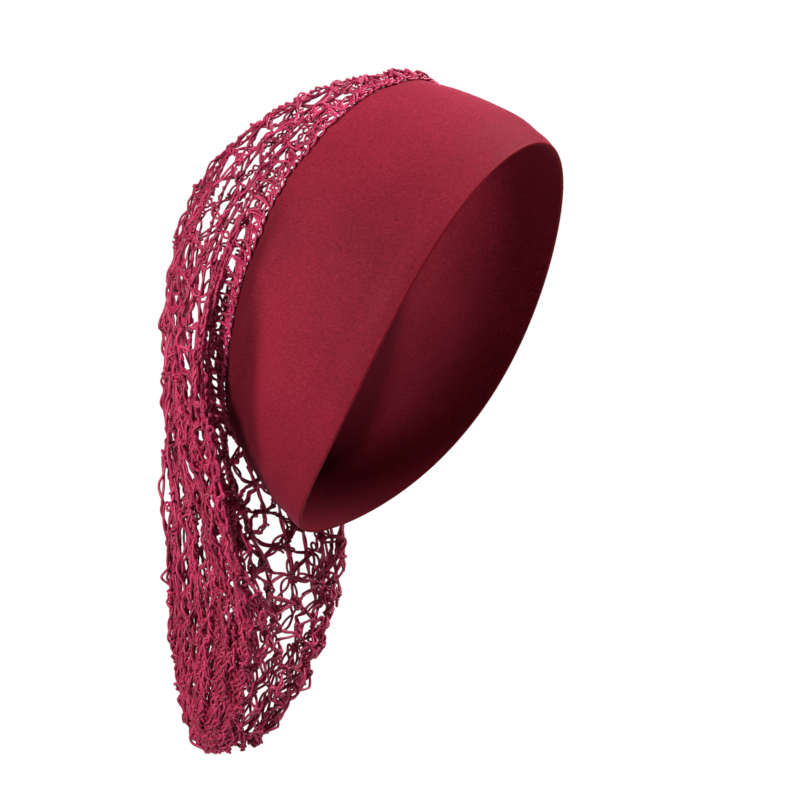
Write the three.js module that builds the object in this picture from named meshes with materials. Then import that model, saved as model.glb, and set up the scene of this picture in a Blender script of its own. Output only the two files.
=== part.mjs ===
// Crochet hair snood: a wide stretch headband with a long crocheted net bag gathered onto its rear edge.
// It has the form that it takes when worn. Millimetres, +Z up, the wearer faces -Y, +X is the wearer's left.
// The origin is where the rear edge of the band crosses the top of the crown.
import * as THREE from 'three';
import { ParametricGeometry } from 'three/addons/geometries/ParametricGeometry.js';
import { mergeVertices } from 'three/addons/utils/BufferGeometryUtils.js';

// Driving dimensions
const bandWall = 2.0; // two layers of stretch satin
const netWall = 2.4; // one crochet chain, two yarns thick
const edgeRadius = 2.1; // the gathered edge row of the net
const edgeRipple = 0.35; // how far each gather of that row swells
const edgeGathers = 18;
const edgeStand = 0.8; // from the band's outer face out to the middle of the edge row
const edgeBehind = 2.85; // from the band's rear edge back to the middle of the edge row
const netFoldCount = 7;
const netFoldDepth = 2.2;

// Steps of the surfaces
const bandStepsAround = 64;
const bandStepsAcross = 7;
const edgeStepsAround = 72;
const edgeSides = 6;

// Every hoop is a loop round the head that crosses the middle plane at its top and at its nape.
// half: the greatest reach to each side. bowAbove, bowBelow: how far the upper and the lower part
// of each side swing to the rear. skew: how far the widest place slips towards the nape, as a share
// of half the hoop's length. corner: how full the two lower corners are, 0 for a round hoop.
const bandHoops = [
  { topY: -61, topZ: -31, napeY: 57, napeZ: -209, half: 72.0, bowAbove: -5, bowBelow: -20, skew: 0, corner: 0 },
  { topY: -49, topZ: -20, napeY: 67, napeZ: -200, half: 74.5, bowAbove: -2, bowBelow: -14, skew: 0, corner: 0 },
  { topY: -34, topZ: -12, napeY: 76, napeZ: -189, half: 75.5, bowAbove: 3, bowBelow: -10, skew: 0, corner: 0 },
  { topY: -17, topZ: -5, napeY: 84, napeZ: -177, half: 74.5, bowAbove: 8, bowBelow: -7, skew: 0, corner: 0 },
  { topY: 0, topZ: 0, napeY: 90, napeZ: -163, half: 71.5, bowAbove: 14, bowBelow: -5, skew: 0, corner: 0 },
];

// The first row is the net's edge at the band and the last is the blunt closed end.
const netHoops = [
  { topY: 5, topZ: 4, napeY: 98, napeZ: -160, half: 74.8, bowAbove: 15, bowBelow: -6, skew: 0, corner: 0 },
  { topY: 46, topZ: -2, napeY: 92, napeZ: -186, half: 76.0, bowAbove: 11, bowBelow: -14, skew: 0.12, corner: 0.15 },
  { topY: 87, topZ: -21, napeY: 85, napeZ: -203, half: 71.5, bowAbove: 8, bowBelow: -22, skew: 0.25, corner: 0.25 },
  { topY: 115.5, topZ: -53, napeY: 77, napeZ: -218, half: 63.0, bowAbove: 5, bowBelow: -18, skew: 0.4, corner: 0.25 },
  { topY: 128, topZ: -96, napeY: 71, napeZ: -232, half: 53.0, bowAbove: 3, bowBelow: -10, skew: 0.55, corner: 0.25 },
  { topY: 131, topZ: -146, napeY: 69, napeZ: -244, half: 45.0, bowAbove: 1, bowBelow: -5, skew: 0.62, corner: 0.25 },
  { topY: 132, topZ: -194, napeY: 69, napeZ: -256, half: 39.0, bowAbove: 0, bowBelow: -2, skew: 0.6, corner: 0.25 },
  { topY: 132, topZ: -236, napeY: 70, napeZ: -269, half: 33.5, bowAbove: 0, bowBelow: 0, skew: 0.5, corner: 0.25 },
  { topY: 129, topZ: -270, napeY: 73, napeZ: -285, half: 27.5, bowAbove: 0, bowBelow: 0, skew: 0.3, corner: 0.2 },
  { topY: 123.5, topZ: -299, napeY: 81, napeZ: -300, half: 20.0, bowAbove: 0, bowBelow: 0, skew: 0.1, corner: 0.1 },
  { topY: 113, topZ: -315, napeY: 91, napeZ: -312, half: 11.0, bowAbove: 0, bowBelow: 0, skew: 0, corner: 0 },
];

// Soft folds of the band over each ear. across: place between the front hem, 0, and the rear edge, 1.
// around: middle of the fold in degrees from the top. Width and reach are in the same units.
const bandFolds = [
  { across: 0.86, around: 112, width: 0.07, reach: 34, height: 1.3 },
  { across: 0.72, around: 108, width: 0.08, reach: 40, height: -1.0 },
  { across: 0.5, around: 100, width: 0.1, reach: 36, height: 0.7 },
];

// The net's gaps: staggered six-sided cells, gapsAround in each of gapRows rows. Places are counted in
// rows of the hoop table.
const gapsAround = 14;
const gapRows = 8;
const gapFirst = 0.3; // where the first cells start
const gapRowStep = 1.09; // from one row of cells to the next
const gapPoint = 0.36; // how far the pointed end of a cell reaches between its neighbours
const gapLong = 0.72; // a gap's length as a share of its cell's
const gapWideSides = 0.3; // a gap's width as a share of its cell's, where the net hangs in bundles
const gapWideFlat = 0.56; // the same over the crown and at the nape, where the net is spread

// A smooth value between the rows of a table, at a place counted in rows
function between(rows, column, place) {
  const last = rows.length - 1;
  const at = THREE.MathUtils.clamp(place, 0, last);
  const low = Math.min(Math.floor(at), last - 1);
  const f = at - low;
  const a = rows[Math.max(low - 1, 0)][column];
  const b = rows[low][column];
  const c = rows[low + 1][column];
  const d = rows[Math.min(low + 2, last)][column];
  const slopeB = low === 0 ? c - b : (c - a) / 2;
  const slopeC = low === last - 1 ? c - b : (d - b) / 2;
  const start = (1 + 2 * f) * (1 - f) * (1 - f) * b + f * (1 - f) * (1 - f) * slopeB;
  return start + f * f * (3 - 2 * f) * c + f * f * (f - 1) * slopeC;
}

// A point on a hoop: angle 0 is the top, a quarter turn is the wearer's left, half a turn is the nape
function hoopPoint(rows, place, angle) {
  const top = new THREE.Vector3(0, between(rows, 'topY', place), between(rows, 'topZ', place));
  const nape = new THREE.Vector3(0, between(rows, 'napeY', place), between(rows, 'napeZ', place));
  const rise = top.clone().sub(nape);
  const reach = rise.length() / 2;
  rise.normalize();
  const rearward = new THREE.Vector3(0, rise.z, -rise.y);
  const side = Math.sin(angle);
  const up = Math.cos(angle);
  const bow = THREE.MathUtils.lerp(
    between(rows, 'bowBelow', place), between(rows, 'bowAbove', place), (1 + up) / 2);
  const slip = between(rows, 'skew', place) * side * side;
  const fuller = between(rows, 'corner', place) * Math.max(-up, 0);
  const out = Math.sign(side) * Math.abs(side) ** (1 - fuller);
  return top.add(nape).multiplyScalar(0.5)
    .addScaledVector(rise, reach * (up - slip))
    .addScaledVector(rearward, bow * Math.abs(side) ** (2 - 2.8 * fuller))
    .setX(between(rows, 'half', place) * out);
}

// The three directions of a hooped surface at a point: around, along and outward
function directions(rows, place, angle) {
  const stepAngle = 0.01;
  const stepPlace = 0.02;
  const before = Math.max(place - stepPlace, 0);
  const after = Math.min(place + stepPlace, rows.length - 1);
  const around = hoopPoint(rows, place, angle + stepAngle)
    .sub(hoopPoint(rows, place, angle - stepAngle)).divideScalar(2 * stepAngle);
  const along = hoopPoint(rows, after, angle)
    .sub(hoopPoint(rows, before, angle)).divideScalar(after - before);
  const outward = around.clone().cross(along).normalize();
  return { around, along, outward };
}

function offsetPoint(rows, place, angle, outwardBy) {
  const { outward } = directions(rows, place, angle);
  return hoopPoint(rows, place, angle).addScaledVector(outward, outwardBy);
}

// A closed body from a surface function whose ends meet
function closedBody(surface, stepsAround, stepsAlong) {
  const geometry = new ParametricGeometry(surface, stepsAround, stepsAlong);
  geometry.deleteAttribute('normal');
  geometry.deleteAttribute('uv');
  return mergeVertices(geometry, 1e-3);
}

// Headband
function bandFoldHeight(place, angle) {
  const across = place / (bandHoops.length - 1);
  const fromTop = Math.abs(THREE.MathUtils.radToDeg(Math.atan2(Math.sin(angle), Math.cos(angle))));
  return bandFolds.reduce((sum, fold) => {
    const acrossShare = (across - fold.across) / fold.width;
    const aroundShare = (fromTop - fold.around) / fold.reach;
    return sum + fold.height * Math.exp(-acrossShare * acrossShare - aroundShare * aroundShare);
  }, 0);
}

function makeHeadband() {
  const last = bandHoops.length - 1;
  const sectionSteps = 2 * (bandStepsAcross + 1);
  const geometry = closedBody((u, v, target) => {
    const angle = u === 1 ? 0 : u * 2 * Math.PI;
    const step = Math.round(v * sectionSteps) % sectionSteps;
    const inside = step > bandStepsAcross;
    const acrossStep = inside ? sectionSteps - 1 - step : step;
    const place = last * acrossStep / bandStepsAcross;
    const outwardBy = bandFoldHeight(place, angle) - (inside ? bandWall : 0);
    target.copy(offsetPoint(bandHoops, place, angle, outwardBy));
  }, bandStepsAround, sectionSteps);
  return geometry;
}

// Gathered edge row of the net, which is sewn along the band's rear edge
function makeGatheredEdge() {
  const place = bandHoops.length - 1;
  return closedBody((u, v, target) => {
    const angle = u === 1 ? 0 : u * 2 * Math.PI;
    const turn = v === 1 ? 0 : v * 2 * Math.PI;
    const { along, outward } = directions(bandHoops, place, angle);
    const radius = edgeRadius + edgeRipple * Math.cos(edgeGathers * angle);
    target.copy(hoopPoint(bandHoops, place, angle))
      .addScaledVector(outward, edgeStand + radius * Math.cos(turn))
      .addScaledVector(along.normalize(), edgeBehind + radius * Math.sin(turn));
  }, edgeStepsAround, edgeSides);
}

// Net bag
function netFold(place, angle) {
  const last = netHoops.length - 1;
  const fade = Math.min(place, 1) * Math.min(last - place, 2) / 2;
  return netFoldDepth * fade * Math.cos(netFoldCount * angle);
}

function netPoint(place, angle, depth) {
  return offsetPoint(netHoops, place, angle, netFold(place, angle) - depth);
}

// The end is closed by running the last hoop in to its own middle
function netEndMiddle(depth) {
  const last = netHoops.length - 1;
  const middle = hoopPoint(netHoops, last, 0).add(hoopPoint(netHoops, last, Math.PI)).multiplyScalar(0.5);
  return middle.setZ(middle.z - netWall / 2 + depth);
}

// The shell is gathered as loose triangles. Each face is laid on the outer side of the wall and, turned
// over, on the inner side.
function layBothSides(triangles, places, endMiddle = false) {
  for (const depth of [0, netWall]) {
    const corners = places.map(([place, angle]) => netPoint(place, angle, depth));
    if (endMiddle) corners.push(netEndMiddle(depth));
    if (depth > 0) corners.reverse();
    for (let i = 2; i < corners.length; i++) triangles.push(corners[0], corners[i - 1], corners[i]);
  }
}

// The wall's own thickness along one edge of a face
function layWall(triangles, from, to) {
  const outerFrom = netPoint(...from, 0);
  const outerTo = netPoint(...to, 0);
  const innerFrom = netPoint(...from, netWall);
  const innerTo = netPoint(...to, netWall);
  triangles.push(outerFrom, outerTo, innerTo, outerFrom, innerTo, innerFrom);
}

function makeNetBag() {
  const last = netHoops.length - 1;
  const halfSteps = 2 * gapsAround;
  const angleAt = (k) => ((k + halfSteps) % halfSteps) * Math.PI / gapsAround;
  const pointedAt = (row) => gapFirst + row * gapRowStep;
  const shoulderAt = (row) => pointedAt(row) + gapPoint;
  const triangles = [];

  for (let row = 0; row < gapRows; row++) {
    const middle = (shoulderAt(row) + pointedAt(row + 1)) / 2;
    for (let i = 0; i < gapsAround; i++) {
      const k = 2 * i + row % 2;
      const cell = [
        [middle, k + 1], [pointedAt(row + 1), k + 1], [shoulderAt(row + 1), k], [pointedAt(row + 1), k - 1],
        [middle, k - 1], [shoulderAt(row), k - 1], [pointedAt(row), k], [shoulderAt(row), k + 1],
      ];
      const spread = Math.cos(angleAt(k)) ** 2;
      const wide = gapWideSides + (gapWideFlat - gapWideSides) * spread;
      const edge = cell.map(([place, step]) => [place, angleAt(step)]);
      const gap = cell.map(([place, step]) => [
        middle + (place - middle) * gapLong,
        angleAt(k) + (step - k) * wide * Math.PI / gapsAround,
      ]);
      edge.forEach((corner, j) => {
        const next = (j + 1) % edge.length;
        layBothSides(triangles, [corner, edge[next], gap[next], gap[j]]);
        layWall(triangles, gap[j], gap[next]);
      });
    }
  }

  // Plain strips from the band to the first cells, and from the last cells to the closed end
  for (let k = 0; k < halfSteps; k++) {
    const here = angleAt(k);
    const next = angleAt(k + 1);
    const startAt = (step) => (step % 2 === 0 ? pointedAt(0) : shoulderAt(0));
    const endAt = (step) => ((step + gapRows) % 2 === 0 ? pointedAt(gapRows) : shoulderAt(gapRows));
    layBothSides(triangles, [[0, here], [0, next], [startAt(k + 1), next], [startAt(k), here]]);
    layWall(triangles, [0, next], [0, here]);
    layBothSides(triangles, [[endAt(k), here], [endAt(k + 1), next], [last, next], [last, here]]);
    layBothSides(triangles, [[last, here], [last, next]], true);
  }
  return mergeVertices(new THREE.BufferGeometry().setFromPoints(triangles), 1e-3);
}

// Assembly
const satin = new THREE.MeshStandardMaterial({ color: 0x8e2a3e, roughness: 0.48, metalness: 0 });
const rayon = new THREE.MeshStandardMaterial({ color: 0xa8385a, roughness: 0.38, metalness: 0 });

function addPiece(group, name, geometry, material) {
  const mesh = new THREE.Mesh(geometry, material);
  mesh.name = name;
  group.add(mesh);
}

const snood = new THREE.Group();
addPiece(snood, 'headband', makeHeadband(), satin);
addPiece(snood, 'gathered_edge', makeGatheredEdge(), rayon);
addPiece(snood, 'net_bag', makeNetBag(), rayon);

export default snood;
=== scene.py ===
# %% [markdown]
# # A crochet hair snood
# A snood is a wide stretch band with a long crocheted bag behind it. This lesson dresses the plain solids of
# a snood with folded satin and with real strands of yarn. Lengths are in metres, +Z is up, the wearer faces
# -Y and +X is the wearer's left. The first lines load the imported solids, which stay where they are.

# %% Load the frame
import math
import bmesh
import bpy
import numpy as np
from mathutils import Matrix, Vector


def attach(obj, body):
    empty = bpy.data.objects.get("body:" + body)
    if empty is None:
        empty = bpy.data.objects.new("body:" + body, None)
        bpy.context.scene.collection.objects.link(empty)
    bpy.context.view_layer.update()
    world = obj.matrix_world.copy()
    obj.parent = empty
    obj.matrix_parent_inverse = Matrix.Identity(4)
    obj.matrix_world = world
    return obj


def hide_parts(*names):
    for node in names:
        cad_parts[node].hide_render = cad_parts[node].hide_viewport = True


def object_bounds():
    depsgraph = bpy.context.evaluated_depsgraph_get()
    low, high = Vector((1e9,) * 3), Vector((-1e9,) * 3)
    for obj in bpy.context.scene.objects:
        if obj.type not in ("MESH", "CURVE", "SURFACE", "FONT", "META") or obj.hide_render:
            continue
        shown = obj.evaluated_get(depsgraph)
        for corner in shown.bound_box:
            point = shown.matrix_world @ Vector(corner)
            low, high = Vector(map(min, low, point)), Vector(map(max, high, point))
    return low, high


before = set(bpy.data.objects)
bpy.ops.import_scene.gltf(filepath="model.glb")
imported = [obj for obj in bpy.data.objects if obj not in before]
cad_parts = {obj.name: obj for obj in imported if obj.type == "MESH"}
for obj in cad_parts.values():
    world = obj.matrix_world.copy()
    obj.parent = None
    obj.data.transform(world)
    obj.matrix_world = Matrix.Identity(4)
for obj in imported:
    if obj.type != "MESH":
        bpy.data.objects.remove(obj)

solid_low, solid_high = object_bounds()
print("solids", sorted(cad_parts), "from", tuple(solid_low), "to", tuple(solid_high))

# %% [markdown]
# ## Camera
# The camera stands level with the middle of the snood on the wearer's right, turned 27 degrees towards the
# front. A long lens from 1.3 m away keeps the band and the net in their true proportions.

# %% Camera
camera_turn = math.radians(27)
camera_distance = 1.3
picture_side = 0.368
sensor_width = 36.0
look = Vector((math.cos(camera_turn), math.sin(camera_turn), 0))
to_the_right = Vector((math.sin(camera_turn), -math.cos(camera_turn), 0))
picture_middle = -0.0106 * to_the_right + Vector((0, 0, -0.1472))

camera_data = bpy.data.cameras.new("camera")
camera_data.sensor_width = sensor_width
camera_data.lens = sensor_width * camera_distance / picture_side
camera = bpy.data.objects.new("camera", camera_data)
camera.location = picture_middle - camera_distance * look
camera.rotation_euler = look.to_track_quat("-Z", "Y").to_euler()
bpy.context.scene.collection.objects.link(camera)
bpy.context.scene.camera = camera
print("camera at", tuple(round(x, 3) for x in camera.location), "lens", round(camera_data.lens, 1))

# %% [markdown]
# ## The hoops that give the snood its form
# Every hoop is a closed loop. It crosses the middle plane at its top and at its nape and reaches `half`
# to each side. Its sides may swing to the rear, and its lower corners may be full. The band and the net
# are both laid on such hoops, and a smooth curve joins the rows, so few numbers give the whole form.

# %% Hoops
hoop_columns = ("top_y", "top_z", "nape_y", "nape_z", "half", "bow_above", "bow_below", "skew", "corner")
band_hoops = [
    (-0.0610, -0.0310, 0.0570, -0.2090, 0.0720, -0.0050, -0.0200, 0, 0),
    (-0.0490, -0.0200, 0.0670, -0.2000, 0.0745, -0.0020, -0.0140, 0, 0),
    (-0.0340, -0.0120, 0.0760, -0.1890, 0.0755, 0.0030, -0.0100, 0, 0),
    (-0.0170, -0.0050, 0.0840, -0.1770, 0.0745, 0.0080, -0.0070, 0, 0),
    (0.0000, 0.0000, 0.0900, -0.1630, 0.0715, 0.0140, -0.0050, 0, 0),
]
net_hoops = [
    (0.0050, 0.0040, 0.0980, -0.1600, 0.0748, 0.0150, -0.0060, 0, 0),
    (0.0460, -0.0020, 0.0920, -0.1860, 0.0760, 0.0110, -0.0140, 0.12, 0.15),
    (0.0870, -0.0210, 0.0850, -0.2030, 0.0715, 0.0080, -0.0220, 0.25, 0.25),
    (0.1155, -0.0530, 0.0770, -0.2180, 0.0630, 0.0050, -0.0180, 0.4, 0.25),
    (0.1280, -0.0960, 0.0710, -0.2320, 0.0530, 0.0030, -0.0100, 0.55, 0.25),
    (0.1310, -0.1460, 0.0690, -0.2440, 0.0450, 0.0010, -0.0050, 0.62, 0.25),
    (0.1320, -0.1940, 0.0690, -0.2560, 0.0390, 0.0000, -0.0020, 0.6, 0.25),
    (0.1320, -0.2360, 0.0700, -0.2690, 0.0335, 0.0000, 0.0000, 0.5, 0.25),
    (0.1290, -0.2700, 0.0730, -0.2850, 0.0275, 0.0000, 0.0000, 0.3, 0.2),
    (0.1235, -0.2990, 0.0810, -0.3000, 0.0200, 0.0000, 0.0000, 0.1, 0.1),
    (0.1130, -0.3150, 0.0910, -0.3120, 0.0110, 0.0000, 0.0000, 0, 0),
]
band_last = len(band_hoops) - 1
net_last = len(net_hoops) - 1


def between(rows, column, place):
    """A smooth value between the rows of a table, at a place counted in rows."""
    values = np.array([row[hoop_columns.index(column)] for row in rows], float)
    slopes = np.gradient(values)
    at = np.clip(np.asarray(place, float), 0, len(values) - 1)
    low = np.minimum(at.astype(int), len(values) - 2)
    f = at - low
    start = (1 + 2 * f) * (1 - f) ** 2 * values[low] + f * (1 - f) ** 2 * slopes[low]
    return start + f * f * (3 - 2 * f) * values[low + 1] + f * f * (f - 1) * slopes[low + 1]


def hoop_point(rows, place, angle):
    """Points on the hoops: angle 0 is the top, a quarter turn is the wearer's left, half a turn the nape."""
    place, angle = np.broadcast_arrays(np.asarray(place, float), np.asarray(angle, float))
    top = np.stack([0 * angle, between(rows, "top_y", place), between(rows, "top_z", place)], -1)
    nape = np.stack([0 * angle, between(rows, "nape_y", place), between(rows, "nape_z", place)], -1)
    rise = top - nape
    reach = np.linalg.norm(rise, axis=-1, keepdims=True) / 2
    rise = rise / (2 * reach)
    rearward = np.stack([0 * angle, rise[..., 2], -rise[..., 1]], -1)
    side, up = np.sin(angle)[..., None], np.cos(angle)[..., None]
    bow_above = between(rows, "bow_above", place)[..., None]
    bow_below = between(rows, "bow_below", place)[..., None]
    bow = bow_below + (bow_above - bow_below) * (1 + up) / 2
    slip = between(rows, "skew", place)[..., None] * side**2
    fuller = between(rows, "corner", place)[..., None] * np.maximum(-up, 0)
    swing = bow * np.abs(side) ** (2 - 2.8 * fuller)
    point = (top + nape) / 2 + rise * reach * (up - slip) + rearward * swing
    out = np.sign(side) * np.abs(side) ** (1 - fuller)
    point[..., 0] = between(rows, "half", place) * out[..., 0]
    return point


def directions(rows, place, angle):
    """The unit directions of the hooped surface: around it, along it towards the closed end, and outward."""
    step_angle, step_place = 0.01, 0.02
    before = np.maximum(np.asarray(place, float) - step_place, 0)
    after = np.minimum(np.asarray(place, float) + step_place, len(rows) - 1)
    around = hoop_point(rows, place, angle + step_angle) - hoop_point(rows, place, angle - step_angle)
    along = hoop_point(rows, after, angle) - hoop_point(rows, before, angle)
    outward = np.cross(around, along)
    return [v / np.linalg.norm(v, axis=-1, keepdims=True) for v in (around, along, outward)]


print("band hoops", len(band_hoops), "net hoops", len(net_hoops))

# %% [markdown]
# ## Satin
# Stretch satin is a fine, tight knit with a soft sheen. A noise of half a millimetre gives its grain, in
# colour and in bump, and a slow noise lets the tone drift a little as cloth does. The sheen is set on the
# shader itself, because the fibres catch light at grazing angles. Along the rear edge, behind the ear, the
# cloth lies in shadow. The modelled ridges are too shallow to cast it, so it is painted: the colour is
# multiplied by a darker one where the value `fold_shadow` is high. It stays dark in any other light.

# %% Satin material
def new_material(name, roughness, sheen, specular, sheen_tint):
    """A material with its Principled shader set, and short ways to add nodes and links."""
    material = bpy.data.materials.new(name)
    material.use_nodes = True
    nodes, links = material.node_tree.nodes, material.node_tree.links
    shader = nodes["Principled BSDF"]
    shader.inputs["Roughness"].default_value = roughness
    shader.inputs["Specular IOR Level"].default_value = specular
    shader.inputs["Sheen Weight"].default_value = sheen
    shader.inputs["Sheen Roughness"].default_value = 0.35
    shader.inputs["Sheen Tint"].default_value = (*sheen_tint, 1)
    return material, nodes, links, shader


def noise_node(nodes, links, coordinates, scale, detail=3.0):
    noise = nodes.new("ShaderNodeTexNoise")
    noise.inputs["Scale"].default_value = scale
    noise.inputs["Detail"].default_value = detail
    links.new(coordinates, noise.inputs["Vector"])
    return noise


def ramp_node(nodes, links, factor, stops):
    ramp = nodes.new("ShaderNodeValToRGB")
    while len(ramp.color_ramp.elements) < len(stops):
        ramp.color_ramp.elements.new(0.5)
    for element, (position, colour) in zip(ramp.color_ramp.elements, stops):
        element.position = position
        element.color = (*colour, 1)
    links.new(factor, ramp.inputs["Fac"])
    return ramp


satin, nodes, links, shader = new_material("burgundy_satin", 0.70, 0.14, 0.05, (1.0, 0.22, 0.40))
place_in_object = nodes.new("ShaderNodeTexCoord").outputs["Object"]
grain_turn = nodes.new("ShaderNodeMapping")
grain_turn.inputs["Rotation"].default_value = (0.6, 0.3, 0.8)
grain_turn.inputs["Scale"].default_value = (1.0, 0.45, 1.0)
links.new(place_in_object, grain_turn.inputs["Vector"])
grain = noise_node(nodes, links, grain_turn.outputs["Vector"], 1500, 2.0)
drift = noise_node(nodes, links, place_in_object, 16, 2.0)
mixed = nodes.new("ShaderNodeMix")
mixed.inputs["Factor"].default_value = 0.4
links.new(grain.outputs["Fac"], mixed.inputs["A"])
links.new(drift.outputs["Fac"], mixed.inputs["B"])
tone = ramp_node(nodes, links, mixed.outputs["Result"], [
    (0.32, (0.120, 0.007, 0.015)),
    (0.52, (0.186, 0.010, 0.023)),
    (0.72, (0.260, 0.015, 0.034)),
])
fold_shadow = nodes.new("ShaderNodeAttribute")
fold_shadow.attribute_name = "fold_shadow"
deeper = nodes.new("ShaderNodeMix")
deeper.data_type = "RGBA"
deeper.blend_type = "MULTIPLY"
deeper.inputs["B"].default_value = (0.46, 0.41, 0.43, 1)
links.new(fold_shadow.outputs["Fac"], deeper.inputs["Factor"])
links.new(tone.outputs["Color"], deeper.inputs["A"])
links.new(deeper.outputs["Result"], shader.inputs["Base Color"])
bump = nodes.new("ShaderNodeBump")
bump.inputs["Strength"].default_value = 0.35
bump.inputs["Distance"].default_value = 0.0002
links.new(grain.outputs["Fac"], bump.inputs["Height"])
links.new(bump.outputs["Normal"], shader.inputs["Normal"])
# Painted shade: the turned hem gets a darker, redder copy of the satin without sheen, for the dark line along
# its fold.
shaded_hem_satin, nodes, links, shader = new_material("shaded_hem_satin", 0.55, 0.0, 0.10, (1, 1, 1))
shader.inputs["Base Color"].default_value = (0.17, 0.002, 0.007, 1)
print("materials", satin.name, shaded_hem_satin.name)

# %% [markdown]
# ## Headband
# The band is a wide tube of satin pressed flat: an outer layer that turns over at the front hem and runs
# back inside. Its section is a closed line, so one ring of vertices is laid at the start of the section and
# extruded along it, ring by ring, and the last ring is bridged to the first. The soft ridges over the ear
# and the roll along the hem are heights added on the way. The turned hem has painted shade: it takes a
# darker, redder copy of the satin without sheen. Every ring also carries its share of the painted shadow.

# %% Headband
band_wall = 0.0018
ring_steps = 240
outer_steps = 44
inner_steps = 14
hem_steps = 5
# across: place between the front hem, 0, and the rear edge, 1. around: degrees from the top, both sides.
fold_columns = ("across", "around", "width", "reach", "height")
band_folds = [
    (0.86, 112, 0.07, 34, 0.0020),
    (0.72, 108, 0.08, 40, -0.0015),
    (0.50, 100, 0.10, 36, 0.0009),
    (0.07, 90, 0.050, 120, 0.0006),
    (0.19, 90, 0.070, 120, -0.0004),
    (0.30, 150, 0.050, 22, 0.0005),
]


def band_fold_height(across, angle):
    """How far the cloth stands out at a place of the band."""
    from_top = np.degrees(np.abs(np.arctan2(np.sin(angle), np.cos(angle))))
    height = 0 * angle
    for row in band_folds:
        fold = dict(zip(fold_columns, row))
        across_share = (across - fold["across"]) / fold["width"]
        around_share = (from_top - fold["around"]) / fold["reach"]
        height = height + fold["height"] * np.exp(-across_share**2 - around_share**2)
    return height


def band_section():
    """The closed line of the folded cloth: (place across, share of the wall), from the hem back and in."""
    outer = [(step / outer_steps, 0.0) for step in range(1, outer_steps + 1)]
    rear = [(1.0, 0.35), (1.0, 0.7)]
    inner = [(1 - step / inner_steps, 1.0) for step in range(0, inner_steps)]
    hem = []
    for step in range(1, hem_steps + 1):
        turn = math.pi * step / (hem_steps + 1)
        hem.append((-0.010 * math.sin(turn), 0.5 + 0.5 * math.cos(turn)))
    return outer + rear + inner + [(0.0, 1.0)] + hem + [(0.0, 0.0)]


def band_ring(across, wall_share):
    angle = np.arange(ring_steps) * 2 * math.pi / ring_steps
    place = np.full(ring_steps, np.clip(across, 0, 1) * band_last)
    around, along, outward = directions(band_hoops, place, angle)
    height = band_fold_height(np.full(ring_steps, across), angle) - wall_share * band_wall
    hem_reach = min(across, 0.0) * 0.08
    return hoop_point(band_hoops, place, angle) + outward * height[:, None] + along * hem_reach


shadow_top, shadow_fade = 62, 35
shadow_start, shadow_growth, shadow_soft = 0.80, 0.42, 0.15
growth_top, growth_fade = 94, 46


def fold_shadow_share(across):
    """The share, from 0 to 1, of the painted shadow round one ring. It grows wider towards the nape."""
    angle = np.arange(ring_steps) * 2 * math.pi / ring_steps
    from_top = np.degrees(np.abs(np.arctan2(np.sin(angle), np.cos(angle))))
    low = np.clip((from_top - shadow_top) / shadow_fade, 0, 1)
    start = shadow_start - shadow_growth * np.clip((from_top - growth_top) / growth_fade, 0, 1)
    rear = np.clip((across - start) / shadow_soft, 0, 1)
    return (rear * rear * (3 - 2 * rear) * low * low * (3 - 2 * low)).tolist()


def move_to(vertices, points):
    for vertex, point in zip(vertices, points):
        vertex.co = point


def new_piece(name, builder, *materials):
    """A named object at the origin from a finished bmesh."""
    mesh = bpy.data.meshes.new(name)
    builder.to_mesh(mesh)
    builder.free()
    mesh.shade_smooth()
    for material in materials:
        mesh.materials.append(material)
    piece = bpy.data.objects.new(name, mesh)
    bpy.context.scene.collection.objects.link(piece)
    return piece


builder = bmesh.new()
section = band_section()
bmesh.ops.create_circle(builder, segments=ring_steps, radius=0.07, cap_ends=False)
builder.verts.ensure_lookup_table()
move_to(builder.verts, band_ring(*section[0]))
share_layer = builder.verts.layers.float.new("fold_shadow")
ring_edges = builder.edges[:]
first_ring = ring_edges
for stop in section[1:]:
    made = bmesh.ops.extrude_edge_only(builder, edges=ring_edges)
    ring_vertices = [part for part in made["geom"] if isinstance(part, bmesh.types.BMVert)]
    ring_edges = [part for part in made["geom"] if isinstance(part, bmesh.types.BMEdge)]
    move_to(ring_vertices, band_ring(*stop))
    for vertex, share in zip(ring_vertices, fold_shadow_share(stop[0])):
        vertex[share_layer] = share
    # The hem faces take the shaded hem satin, the painted shade along the fold.
    if stop[0] < 0:
        for part in made["geom"]:
            if isinstance(part, bmesh.types.BMFace):
                part.material_index = 1
bmesh.ops.bridge_loops(builder, edges=first_ring + ring_edges)
bmesh.ops.recalc_face_normals(builder, faces=builder.faces)
headband = new_piece("satin_headband", builder, satin, shaded_hem_satin)
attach(headband, "root")
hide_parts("headband")
print("headband faces", len(headband.data.polygons))

# %% [markdown]
# ## Yarn
# The net is worked in a shiny two-ply rayon yarn. Its twist shows as fine slanting ridges in the bump, and as
# a light painted shade in the grooves between the plies with a light painted highlight on the ridges. Each
# strand of yarn carries how far along it a point lies and where round the strand it lies, so the material can
# draw the twist on it. A third value differs from strand to strand and shifts the tone a little.

# %% Yarn material
ply_pitch = 0.0013
yarn, nodes, links, shader = new_material("rayon_yarn", 0.48, 0.04, 0.38, (1.0, 0.3, 0.5))


def math_node(nodes, links, operation, first, second):
    node = nodes.new("ShaderNodeMath")
    node.operation = operation
    for socket, value in zip(node.inputs, (first, second)):
        if isinstance(value, (int, float)):
            socket.default_value = value
        else:
            links.new(value, socket)
    return node.outputs["Value"]


def attribute_node(nodes, name):
    node = nodes.new("ShaderNodeAttribute")
    node.attribute_name = name
    return node


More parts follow.
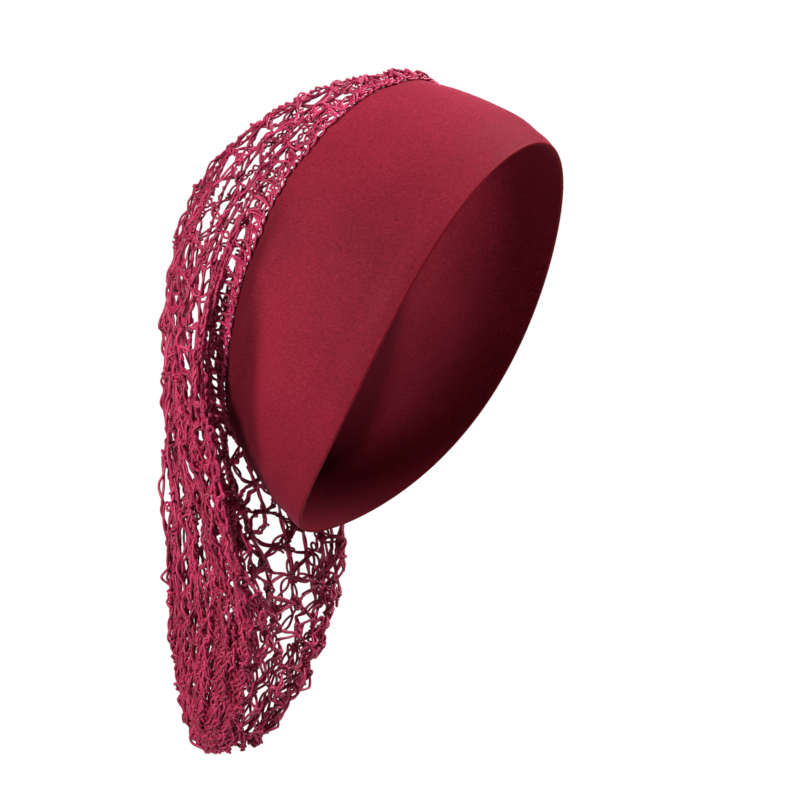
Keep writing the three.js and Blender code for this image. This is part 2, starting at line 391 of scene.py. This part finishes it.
along_yarn = attribute_node(nodes, "along_yarn").outputs["Fac"]
round_yarn = nodes.new("ShaderNodeSeparateXYZ")
links.new(attribute_node(nodes, "round_yarn").outputs["Vector"], round_yarn.inputs["Vector"])
strand_tone = attribute_node(nodes, "strand_tone").outputs["Fac"]
turn = math_node(nodes, links, "ARCTAN2", round_yarn.outputs["Y"], round_yarn.outputs["X"])
winding = math_node(nodes, links, "MULTIPLY", along_yarn, 2 * math.pi / ply_pitch)
twist = math_node(nodes, links, "SINE", math_node(nodes, links, "ADD", winding, turn), 0)
place_in_object = nodes.new("ShaderNodeTexCoord").outputs["Object"]
fibre = noise_node(nodes, links, place_in_object, 900, 2.0)
patch = noise_node(nodes, links, place_in_object, 45, 2.0)
# Painted shade and highlight: the twist darkens the colour a little in the grooves between the plies and
# lightens it on the ridges.
summed = math_node(nodes, links, "MULTIPLY", twist, 0.06)
for value, weight in ((strand_tone, 0.45), (fibre.outputs["Fac"], 0.08), (patch.outputs["Fac"], 0.45)):
    summed = math_node(nodes, links, "ADD", summed, math_node(nodes, links, "MULTIPLY", value, weight))
tone = ramp_node(nodes, links, summed, [
    (0.15, (0.160, 0.005, 0.024)),
    (0.50, (0.335, 0.012, 0.057)),
    (0.85, (0.550, 0.031, 0.115)),
])
links.new(tone.outputs["Color"], shader.inputs["Base Color"])
bump = nodes.new("ShaderNodeBump")
bump.inputs["Strength"].default_value = 0.15
bump.inputs["Distance"].default_value = 0.00015
links.new(twist, bump.inputs["Height"])
links.new(bump.outputs["Normal"], shader.inputs["Normal"])
print("material", yarn.name)

# %% [markdown]
# ## From a line to a yarn
# Thousands of short lines make the net. Geometry Nodes sweep one small ring along all the lines of a
# piece at once, close their ends, and write the three values that the yarn's material reads. The result
# is then kept as a plain mesh. The yarn is made up to 18 % thinner over the crown. That is a choice for
# the look, which opens the gaps there, and not a measured thickness.

# %% Yarn from lines
yarn_radius = 0.00066
yarn_sides = 6
crown_thinning = 0.18
thinning_starts = -0.11
thinning_rise = 0.06


def yarn_nodes(radius, sides):
    group = bpy.data.node_groups.new("yarn_on_lines", "GeometryNodeTree")
    group.interface.new_socket("Geometry", in_out="INPUT", socket_type="NodeSocketGeometry")
    group.interface.new_socket("Geometry", in_out="OUTPUT", socket_type="NodeSocketGeometry")
    nodes, links = group.nodes, group.links
    start = nodes.new("NodeGroupInput")
    end = nodes.new("NodeGroupOutput")

    def stored(geometry, name, data_type, domain, value):
        node = nodes.new("GeometryNodeStoreNamedAttribute")
        node.data_type = data_type
        node.domain = domain
        node.inputs["Name"].default_value = name
        links.new(geometry, node.inputs["Geometry"])
        links.new(value, node.inputs["Value"])
        return node.outputs["Geometry"]

    length = nodes.new("GeometryNodeSplineParameter").outputs["Length"]
    random = nodes.new("FunctionNodeRandomValue")
    lines = stored(start.outputs["Geometry"], "along_yarn", "FLOAT", "POINT", length)
    lines = stored(lines, "strand_tone", "FLOAT", "CURVE", random.outputs[1])
    ring = nodes.new("GeometryNodeCurvePrimitiveCircle")
    ring.inputs["Resolution"].default_value = sides
    ring.inputs["Radius"].default_value = radius
    scaled = nodes.new("ShaderNodeVectorMath")
    scaled.operation = "SCALE"
    scaled.inputs["Scale"].default_value = 1 / radius
    links.new(nodes.new("GeometryNodeInputPosition").outputs["Position"], scaled.inputs["Vector"])
    profile = stored(ring.outputs["Curve"], "round_yarn", "FLOAT_VECTOR", "POINT", scaled.outputs["Vector"])
    swept = nodes.new("GeometryNodeCurveToMesh")
    swept.inputs["Fill Caps"].default_value = True
    links.new(lines, swept.inputs["Curve"])
    links.new(profile, swept.inputs["Profile Curve"])
    links.new(nodes.new("GeometryNodeInputRadius").outputs["Radius"], swept.inputs["Scale"])
    smooth = nodes.new("GeometryNodeSetShadeSmooth")
    links.new(swept.outputs["Mesh"], smooth.inputs["Geometry"])
    links.new(smooth.outputs["Geometry"], end.inputs["Geometry"])
    return group


yarn_group = yarn_nodes(yarn_radius, yarn_sides)


def yarn_piece(name, lines):
    """One mesh of yarn from many lines, each an array of points."""
    curve = bpy.data.curves.new(name + "_lines", "CURVE")
    curve.dimensions = "3D"
    for points in lines:
        spline = curve.splines.new("POLY")
        spline.points.add(len(points) - 1)
        rows = np.concatenate([points, np.ones((len(points), 1))], 1)
        spline.points.foreach_set("co", rows.ravel())
        high = np.clip((points[:, 2] - thinning_starts) / thinning_rise, 0, 1)
        spline.points.foreach_set("radius", 1 - crown_thinning * high)
    drawn = bpy.data.objects.new(name + "_lines", curve)
    bpy.context.scene.collection.objects.link(drawn)
    drawn.modifiers.new("yarn", "NODES").node_group = yarn_group
    graph = bpy.context.evaluated_depsgraph_get()
    mesh = bpy.data.meshes.new_from_object(
        drawn.evaluated_get(graph), preserve_all_data_layers=True, depsgraph=graph)
    mesh.name = name
    mesh.materials.clear()
    mesh.materials.append(yarn)
    bpy.data.objects.remove(drawn)
    piece = bpy.data.objects.new(name, mesh)
    bpy.context.scene.collection.objects.link(piece)
    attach(piece, "root")
    print(name, "lines", len(lines), "faces", len(mesh.polygons))
    return piece


# %% [markdown]
# ## How the chains lie round the bag
# The bag is gathered: its chains crowd together at the wearer's right, lie open over the crown, and hang wide
# open under the nape and at the wearer's left. Two short tables say how closely the chains crowd at each
# angle, one for the part near the band and one for the hanging part. Their running sum gives each chain its
# true angle. The wall also stands in soft folds that fade out at the band and at the closed end.

# %% Chains round the bag
chain_count = 54
fold_count = 16
fold_depth = 0.0018
crowd_degrees = (-180, -165, -150, -121, -111, -95, -75, -50, 0, 50, 75, 110, 150, 180)
crowd_near_band = (0.8, 1.0, 1.4, 1.7, 1.7, 1.7, 1.3, 0.72, 0.68, 0.70, 0.9, 0.9, 0.8, 0.8)
crowd_hanging = (0.22, 0.22, 0.25, 0.48, 1.5, 1.55, 1.5, 1.0, 0.75, 0.6, 0.5, 0.38, 0.28, 0.22)
random = np.random.default_rng(11)


def share_and_angle(crowding):
    """Even shares of the whole turn, and the true angles that they reach when chains crowd as given."""
    angle = np.linspace(-math.pi, math.pi, 361)
    crowd = np.interp(np.degrees(angle), crowd_degrees, crowding)
    share = np.concatenate([[0], np.cumsum(crowd[1:] + crowd[:-1])])
    return (2 * share / share[-1] - 1) * math.pi, angle


near_band = share_and_angle(crowd_near_band)
hanging = share_and_angle(crowd_hanging)


def chain_angle(place, turn):
    """The true angle of a chain whose even share of the turn is given. Both run from -pi to pi."""
    lower = np.clip((place - 1.2) / 3.0, 0, 1)
    lower = lower * lower * (3 - 2 * lower)
    whole_turns = np.round(turn / (2 * math.pi)) * 2 * math.pi
    first = np.interp(turn - whole_turns, *near_band)
    last = np.interp(turn - whole_turns, *hanging)
    return whole_turns + first + (last - first) * lower


def net_place(place, turn, sideways, height):
    """Points of the net: sideways and height are true lengths from the chain's own line."""
    angle = chain_angle(place, turn)
    around, along, outward = directions(net_hoops, place, angle)
    fade = np.minimum(place, 1) * np.clip(net_last - place, 0, 2) / 2
    fold = fold_depth * fade * np.cos(fold_count * angle + 1.5 * np.sin(place))
    base = hoop_point(net_hoops, place, angle)
    return base + around * sideways[:, None] + outward * (height + fold)[:, None]


# %% [markdown]
# ## Chains
# Over the crown each chain is a pair of strands that cross and part again, which makes a row of eyelets,
# some short and some long. Below the crown, where the chains crowd, a third strand joins the pair and
# they pass over one another like a loose plait. Neighbouring chains meet at knots, first on one side and
# then on the other, so the cells between them are long and staggered. Every knot and strand is moved a
# little at random, with a fixed seed, because hand crochet is never even.

# %% Chains
share_step = 2 * math.pi / chain_count
open_crowd = 0.55
line_step = 0.0010
strand_apart = 0.00060
eyelet_short = 0.0046
eyelet_long = 0.0120
crown_short_share = 0.62
other_short_share = 0.10
bundle_half = 0.00062


def knot_grid(rows):
    """The places of the knots along the bag, and how far each is shifted along and slid sideways."""
    places = 0.06 + (net_last - 0.31) * np.linspace(0, 1, rows) ** 1.25
    shift = random.uniform(-0.20, 0.20, (rows, chain_count)) * np.gradient(places)[:, None]
    shift = shift * np.where(places < 2.3, 0.6, 1.3)[:, None]
    slide = random.uniform(-0.22, 0.22, (rows, chain_count))
    return places, shift, slide


close_grid = knot_grid(34)
open_grid = knot_grid(20)


def crowd_at(chain, table, place):
    """How closely the chains crowd where a chain lies."""
    angle = np.degrees(chain_angle(place, (chain + 0.5) * share_step - math.pi))
    return float(np.interp(angle, crowd_degrees, table))


def grid_of(chain):
    """Chains in the open part have wider cells, so their knots lie further apart."""
    return open_grid if crowd_at(chain, crowd_hanging, net_last) < open_crowd else close_grid


def knot_seat(grid, row, gap):
    """The place and the turn of the knot that closes a gap between two chains at a row."""
    places, shift, slide = grid
    column = gap % chain_count
    return places[row] + shift[row, column], (gap + 1 + slide[row, column]) * share_step - math.pi


def strand_number(chain):
    """Three strands where the chains crowd, two elsewhere."""
    crowded = crowd_at(chain, crowd_near_band, 0.0) > 0.78
    return 3 if crowded and grid_of(chain) is close_grid else 2


def eased(at, stops, values):
    """Values between stops that ease in and out, so that no strand has a corner."""
    low = np.clip(np.searchsorted(stops, at, side="right") - 1, 0, len(stops) - 2)
    share = np.clip((at - stops[low]) / np.maximum(stops[low + 1] - stops[low], 1e-6), 0, 1)
    return values[low] + (values[low + 1] - values[low]) * share * share * (3 - 2 * share)


def loose(at, spacing, size):
    """A smooth random drift along a strand."""
    stops = np.arange(0, at[-1] + 2 * spacing, spacing)
    return eased(at, stops, random.uniform(-size, size, len(stops)))


def stray(at):
    """Now and then a strand stands away from the net in a low arch."""
    rise = np.zeros(len(at))
    for start in np.arange(0, at[-1], 0.05):
        middle = start + random.uniform(0, 0.05)
        half = random.uniform(0.006, 0.010)
        if random.random() < 0.15:
            rise = rise + random.uniform(0.001, 0.0032) * np.clip(1 - ((at - middle) / half) ** 2, 0, 1) ** 2
    return rise


def edge_hold(turn, first_point):
    """The short stretch that holds a strand to the rear edge of the band."""
    angle = chain_angle(np.zeros(1), np.array([turn + random.uniform(-0.4, 0.4) * share_step]))
    around, along, outward = directions(band_hoops, np.full(1, float(band_last)), angle)
    held_at = (hoop_point(band_hoops, band_last, angle) + outward * 0.0011 - along * 0.0004)[0]
    share = np.linspace(0, 1, 6)[:-1, None]
    bend = outward * random.uniform(0.0003, 0.0014) + around * random.normal(0, 0.0010)
    arch = bend * np.sin(math.pi * share)
    return held_at + (first_point - held_at) * share + arch


def chain_strands(chain):
    """The strands of one chain, as arrays of points."""
    grid = grid_of(chain)
    seats = []
    for row in range(len(grid[0])):
        gap = chain if (row + chain) % 2 == 0 else chain - 1
        seats.append(knot_seat(grid, row, gap))
    middle = (chain + 0.5) * share_step - math.pi
    ends_at = net_last - random.choice([0.02, 0.3, 0.55])
    knot_place = np.array([0.0] + [seat[0] for seat in seats] + [0.0])
    knot_place[-1] = max(ends_at, knot_place[-2] + 0.01)
    knot_turn = np.array([middle] + [seat[1] for seat in seats] + [seats[-1][1]])
    fine = np.linspace(0, ends_at, 600)
    base = hoop_point(net_hoops, fine, chain_angle(fine, np.interp(fine, knot_place, knot_turn)))
    run = np.concatenate([[0], np.cumsum(np.linalg.norm(np.diff(base, axis=0), axis=1))])
    at = np.linspace(0, run[-1], int(run[-1] / line_step))
    place = np.interp(at, run, fine)
    knot_run = np.interp(knot_place, fine, run)
    segments = len(knot_run) - 1
    segment = np.clip(np.searchsorted(knot_place, place, side="right") - 1, 0, segments - 1)
    length = np.maximum(knot_run[segment + 1] - knot_run[segment], 1e-5)
    share = np.clip((at - knot_run[segment]) / length, 0, 1)
    number = strand_number(chain)
    plait = np.clip((place - 1.5) / 1.2, 0, 1) * (number == 3)
    corner_pull = np.abs(1 - 2 * share) ** 1.35
    smooth_pull = 0.5 + 0.5 * np.cos(2 * math.pi * share)
    pull = corner_pull + (smooth_pull - corner_pull) * plait
    near_turn = np.where(share < 0.5, knot_turn[segment], knot_turn[segment + 1])
    turn = middle + pull * (near_turn - middle)
    short_share = np.where(knot_place[:-1] < 2.3, crown_short_share, other_short_share)
    eyelet_size = np.where(random.random(segments) < short_share, eyelet_short, eyelet_long)
    eyelets = np.maximum(1, np.round(np.diff(knot_run) / eyelet_size + random.uniform(-0.4, 0.4, segments)))
    eyelet_before = np.concatenate([[0], np.cumsum(eyelets)])
    phase = math.pi * (eyelet_before[segment] + share * eyelets[segment])
    total = int(eyelet_before[-1]) + 2
    wide = eased(phase / math.pi, np.arange(total) + 0.5, random.uniform(0.0009, 0.0018, total))
    wide = wide + 0.0003 * np.clip(2.5 - place, 0, 1)
    lift = random.normal(0, 0.0011, len(knot_place)) * np.where(knot_place < 2.3, 0.4, 1.0)
    height = eased(at, knot_run, lift)
    beside = -np.sign(near_turn - middle) * bundle_half * pull
    strands = []
    for strand in range(number):
        paired = phase + math.pi * strand
        plaited = phase + 2 * math.pi * strand / 3
        pair_side, pair_rise = wide * np.sin(paired), strand_apart * np.cos(paired)
        plait_side = 1.15 * wide * np.sin(plaited) * (1 - 0.45 * pull)
        plait_rise = 1.2 * strand_apart * np.sin(2 * plaited)
        sideways = pair_side + (plait_side - pair_side) * plait + beside + loose(at, 0.007, 0.0004)
        rise = pair_rise + (plait_rise - pair_rise) * plait + height + loose(at, 0.009, 0.0003)
        rise = rise + stray(at) * np.clip(place - 2, 0, 1)
        points = net_place(place, turn, sideways, rise)
        if strand == 2:
            strands.append(points[place > random.uniform(1.3, 2.2)])
        else:
            strands.append(np.concatenate([edge_hold(turn[0], points[0]), points]))
    return strands


# %% [markdown]
# ## Knots
# Where two chains meet, the yarn is wound round both of them and pulled tight. Each knot is one short
# line with its ends tucked in: a turn and a half round the bundle, or over the crown a single turn, which
# shows as one crossbar. Some knots have a small ring of slack yarn too. In the open part the knots also
# carry slack loops and thin arches, which make its ribs ragged.

# %% Knots
knot_half_wide = 0.0019
knot_half_deep = 0.0018
slack_ring_share = 0.08
crown_knot_share = 0.85
crowded_knot_share = 0.35


def open_loops(grid, row, gap):
    """Slack loops and thin arches of yarn round a knot in the open part."""
    place, turn = knot_seat(grid, row, gap)
    lines = []
    for _ in range(random.integers(1, 3)):
        share = np.linspace(0, 1, 14)
        round_turn = 2 * math.pi * share * random.uniform(1.0, 1.15) + random.uniform(0, 2 * math.pi)
        tilt = random.uniform(-0.9, 0.9)
        long_half, short_half = random.uniform(0.0022, 0.0048), random.uniform(0.0012, 0.0022)
        along_loop, across_loop = long_half * np.cos(round_turn), short_half * np.sin(round_turn)
        at_side = math.cos(tilt) * across_loop - math.sin(tilt) * along_loop + random.uniform(-0.003, 0.003)
        down = math.sin(tilt) * across_loop + math.cos(tilt) * along_loop + random.uniform(-0.005, 0.005)
        lift = 0.0006 + 0.0009 * np.cos(round_turn + random.uniform(0, 6))
        near = np.full(14, place)
        here = np.full(14, turn)
        _, along, _ = directions(net_hoops, near, chain_angle(near, here))
        lines.append(net_place(near, here, at_side, lift) + along * down[:, None])
    if row + 2 < len(grid[0]) and random.random() < 0.6:
        far_place, far_turn = knot_seat(grid, row + 1, gap + random.choice([-1, 1]))
        share = np.linspace(0, 1, 16)
        bow = random.choice([-1, 1]) * random.uniform(0.002, 0.006) * np.sin(math.pi * share)
        lift = random.uniform(0, 0.003) * np.sin(math.pi * share)
        between_places = place + (far_place - place) * share
        between_turns = turn + (far_turn - turn) * share
        lines.append(net_place(between_places, between_turns, bow, lift))
    return lines


def knot_lines(grid, row, gap):
    """The lines of yarn of one knot."""
    place, turn = [np.array([value]) for value in knot_seat(grid, row, gap)]
    frame_here = directions(net_hoops, place, chain_angle(place, turn))
    around, along, outward = [v[0] for v in frame_here]
    centre = net_place(place, turn, np.zeros(1), np.zeros(1))[0]
    size = random.uniform(0.85, 1.15)
    hand = random.choice([-1, 1])
    share = np.linspace(0, 1, 13)
    crown = place[0] < 2.5
    wind = hand * ((share - 0.5) * 2.1 * math.pi if crown else share * 2.9 * math.pi - 0.8 * math.pi)
    tuck = np.clip(np.minimum(share, 1 - share) * 7, 0.25, 1)
    climb = (share - 0.5) * random.uniform(0.0026, 0.0042)
    slant = random.uniform(-0.7, 0.7) * (0.4 if crown else 1.0)
    wide = knot_half_wide * (1.3 if crown else 1.0) * size * tuck * np.sin(wind)
    deep = knot_half_deep * size * tuck * np.cos(wind)
    rise = climb + slant * wide
    lines = [centre + np.outer(wide, around) + np.outer(deep, outward) + np.outer(rise, along)]
    if grid is open_grid and 2 < place[0] < 8:
        lines += open_loops(grid, row, gap)
    if random.random() < slack_ring_share:
        ring_turn = np.linspace(0, 2 * math.pi, 13) + random.uniform(0, 2 * math.pi)
        ring_size = random.uniform(0.0014, 0.0022)
        wide = ring_size * 1.1 * np.cos(ring_turn)
        rise = ring_size * 0.9 * np.sin(ring_turn) + random.uniform(-0.002, 0.002)
        deep = 0.0013 + 0.0006 * np.cos(ring_turn + random.uniform(0, 6))
        lines.append(centre + np.outer(wide, around) + np.outer(rise, along) + np.outer(deep, outward))
    return lines


# %% [markdown]
# ## Sectors
# The bag is made in six pieces, side by side round it, so that no mesh is too heavy. Each holds its chains
# and their knots.

# %% Net pieces
sectors = [
    "net_nape_right", "net_side_right", "net_crown_right", "net_crown_left", "net_side_left", "net_nape_left",
]
net_pieces = []
for number, name in enumerate(sectors):
    lines = []
    first = round(number * chain_count / len(sectors))
    beyond = round((number + 1) * chain_count / len(sectors))
    for chain in range(first, beyond):
        lines += chain_strands(chain)
        grid = grid_of(chain)
        for row in range(len(grid[0])):
            seen = crown_knot_share if strand_number(chain) == 2 or grid is open_grid else crowded_knot_share
            if (row + chain) % 2 == 0 and random.random() < seen:
                lines += knot_lines(grid, row, chain)
    piece = yarn_piece(name, lines)
    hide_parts("net_bag")
    net_pieces.append(piece)

# %% [markdown]
# ## Gathered edge
# The first rows of the net are sewn onto the rear edge of the band. Three chains run along the edge, one
# behind the other, and short slanting stitches reach over them onto the satin and stand a little proud.

# %% Gathered edge
edge_length = 0.50
edge_chains = [(-0.0001, 0.0010, 0.0009), (0.0028, 0.0006, 0.0012), (0.0056, 0.0008, 0.0016)]
stitch_count = 190


def edge_points(angle, behind, proud):
    """Points near the band's rear edge, given how far behind it and how proud of it they stand."""
    place = np.full(len(angle), float(band_last))
    around, along, outward = directions(band_hoops, place, angle)
    return hoop_point(band_hoops, place, angle) + along * behind[:, None] + outward * proud[:, None]


def wander(angle, count, size):
    """A smooth random change round the edge."""
    stops = np.linspace(0, 2 * math.pi, count + 1)
    values = random.uniform(-size, size, count + 1)
    values[-1] = values[0]
    return eased(angle, stops, values)


def edge_chain(behind, proud, sway):
    """The two strands of a chain that runs round the edge."""
    angle = np.linspace(0, 2 * math.pi, int(edge_length / line_step))
    eyelets = 2 * round(edge_length / eyelet_short / 2)
    phase = eyelets * angle / 2 + wander(angle, 80, 1.4)
    middle = behind + wander(angle, 100, sway)
    strands = []
    for sign in (1, -1):
        along_net = middle + sign * (0.0011 + wander(angle, 110, 0.0005)) * np.sin(phase)
        out = proud + sign * 0.0006 * np.cos(phase) + wander(angle, 120, 0.0005)
        strands.append(edge_points(angle, along_net, out))
    return strands


def edge_stitch(angle):
    """One slanting stitch over the edge: a narrow bight of yarn with both ends tucked under the chains."""
    share = np.linspace(0, 1, 12)
    reach = random.uniform(0.0030, 0.0085)
    slant = random.uniform(-0.05, 0.05)
    wide = random.uniform(0.006, 0.012)
    climb = np.sin(math.pi * share) ** 0.7
    front = random.choice([-0.0010, -0.0004, 0.0018, 0.0034])
    behind = reach * (1 - climb) + front * climb
    across = angle + wide * np.cos(math.pi * share) + slant * (1 - climb)
    proud = 0.0005 + random.uniform(0.0010, 0.0019) * np.sin(math.pi * share)
    return edge_points(across, behind, proud)


edge_lines = []
for behind, proud, sway in edge_chains:
    edge_lines += edge_chain(behind, proud, sway)
for number in range(stitch_count):
    edge_lines.append(edge_stitch((number + random.uniform(-0.3, 0.3)) * 2 * math.pi / stitch_count))
edge = yarn_piece("gathered_edge_yarn", edge_lines)
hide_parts("gathered_edge")

# %% [markdown]
# ## The band's cloth
# The band is one sheet of satin, cut as a long strip and folded lengthwise. The band piece's name is printed.
# The flat size is that of the folded strip. Its two numbers are chosen so that their product is the area of
# one modelled layer.

print("declared", headband.name)

# %% [markdown]
# ## Floor and light
# The snood is held up in front of a white room, with a pale floor below it. The key light stands at the
# wearer's right and a little behind, a stronger one shines down from the front and above, and a weak one
# at the wearer's left keeps that side from going black. The white room is bright to the camera but adds
# little light.

# %% Floor and light
floor_drop = 0.8
builder = bmesh.new()
bmesh.ops.create_circle(builder, segments=96, radius=6.0, cap_ends=True)
bmesh.ops.translate(builder, verts=builder.verts, vec=(0, 0, solid_low.z - floor_drop))
pale, nodes, links, shader = new_material("pale_floor", 0.9, 0.0, 0.2, (1, 1, 1))
shader.inputs["Base Color"].default_value = (0.85, 0.85, 0.85, 1)
room = nodes.new("ShaderNodeEmission")
distance = nodes.new("ShaderNodeVectorMath")
distance.operation = "LENGTH"
links.new(nodes.new("ShaderNodeTexCoord").outputs["Object"], distance.inputs[0])
fade = nodes.new("ShaderNodeMapRange")
fade.interpolation_type = "SMOOTHSTEP"
fade.inputs["From Min"].default_value = 0.45
fade.inputs["From Max"].default_value = 1.1
links.new(distance.outputs["Value"], fade.inputs["Value"])
seen = nodes.new("ShaderNodeLightPath").outputs["Is Camera Ray"]
blend = nodes.new("ShaderNodeMixShader")
links.new(math_node(nodes, links, "MULTIPLY", fade.outputs["Result"], seen), blend.inputs["Fac"])
links.new(shader.outputs["BSDF"], blend.inputs[1])
links.new(room.outputs["Emission"], blend.inputs[2])
links.new(blend.outputs["Shader"], nodes["Material Output"].inputs["Surface"])
floor = new_piece("floor", builder, pale)


def area_light(name, place, target, size, power):
    data = bpy.data.lights.new(name, "AREA")
    data.size = size
    data.energy = power
    lamp = bpy.data.objects.new(name, data)
    lamp.location = place
    lamp.rotation_euler = (Vector(target) - Vector(place)).to_track_quat("-Z", "Y").to_euler()
    bpy.context.scene.collection.objects.link(lamp)
    return lamp


snood_middle = (0, 0.03, -0.13)
area_light("key_behind", (-1.08, 0.32, 0.18), snood_middle, 0.30, 18)
area_light("top_front", (0.42, -0.72, 0.94), snood_middle, 0.4, 40)
area_light("fill_left", (1.10, 0.30, 0.10), snood_middle, 0.6, 3)
world = bpy.data.worlds.new("white_room")
world.use_nodes = True
nodes, links = world.node_tree.nodes, world.node_tree.links
background = nodes["Background"]
background.inputs["Color"].default_value = (1, 1, 1, 1)
seen = nodes.new("ShaderNodeLightPath").outputs["Is Camera Ray"]
strength = nodes.new("ShaderNodeMapRange")
strength.inputs["To Min"].default_value = 0.07
strength.inputs["To Max"].default_value = 1.0
links.new(seen, strength.inputs["Value"])
links.new(strength.outputs["Result"], background.inputs["Strength"])
bpy.context.scene.world = world
bpy.context.scene.view_settings.view_transform = "Standard"
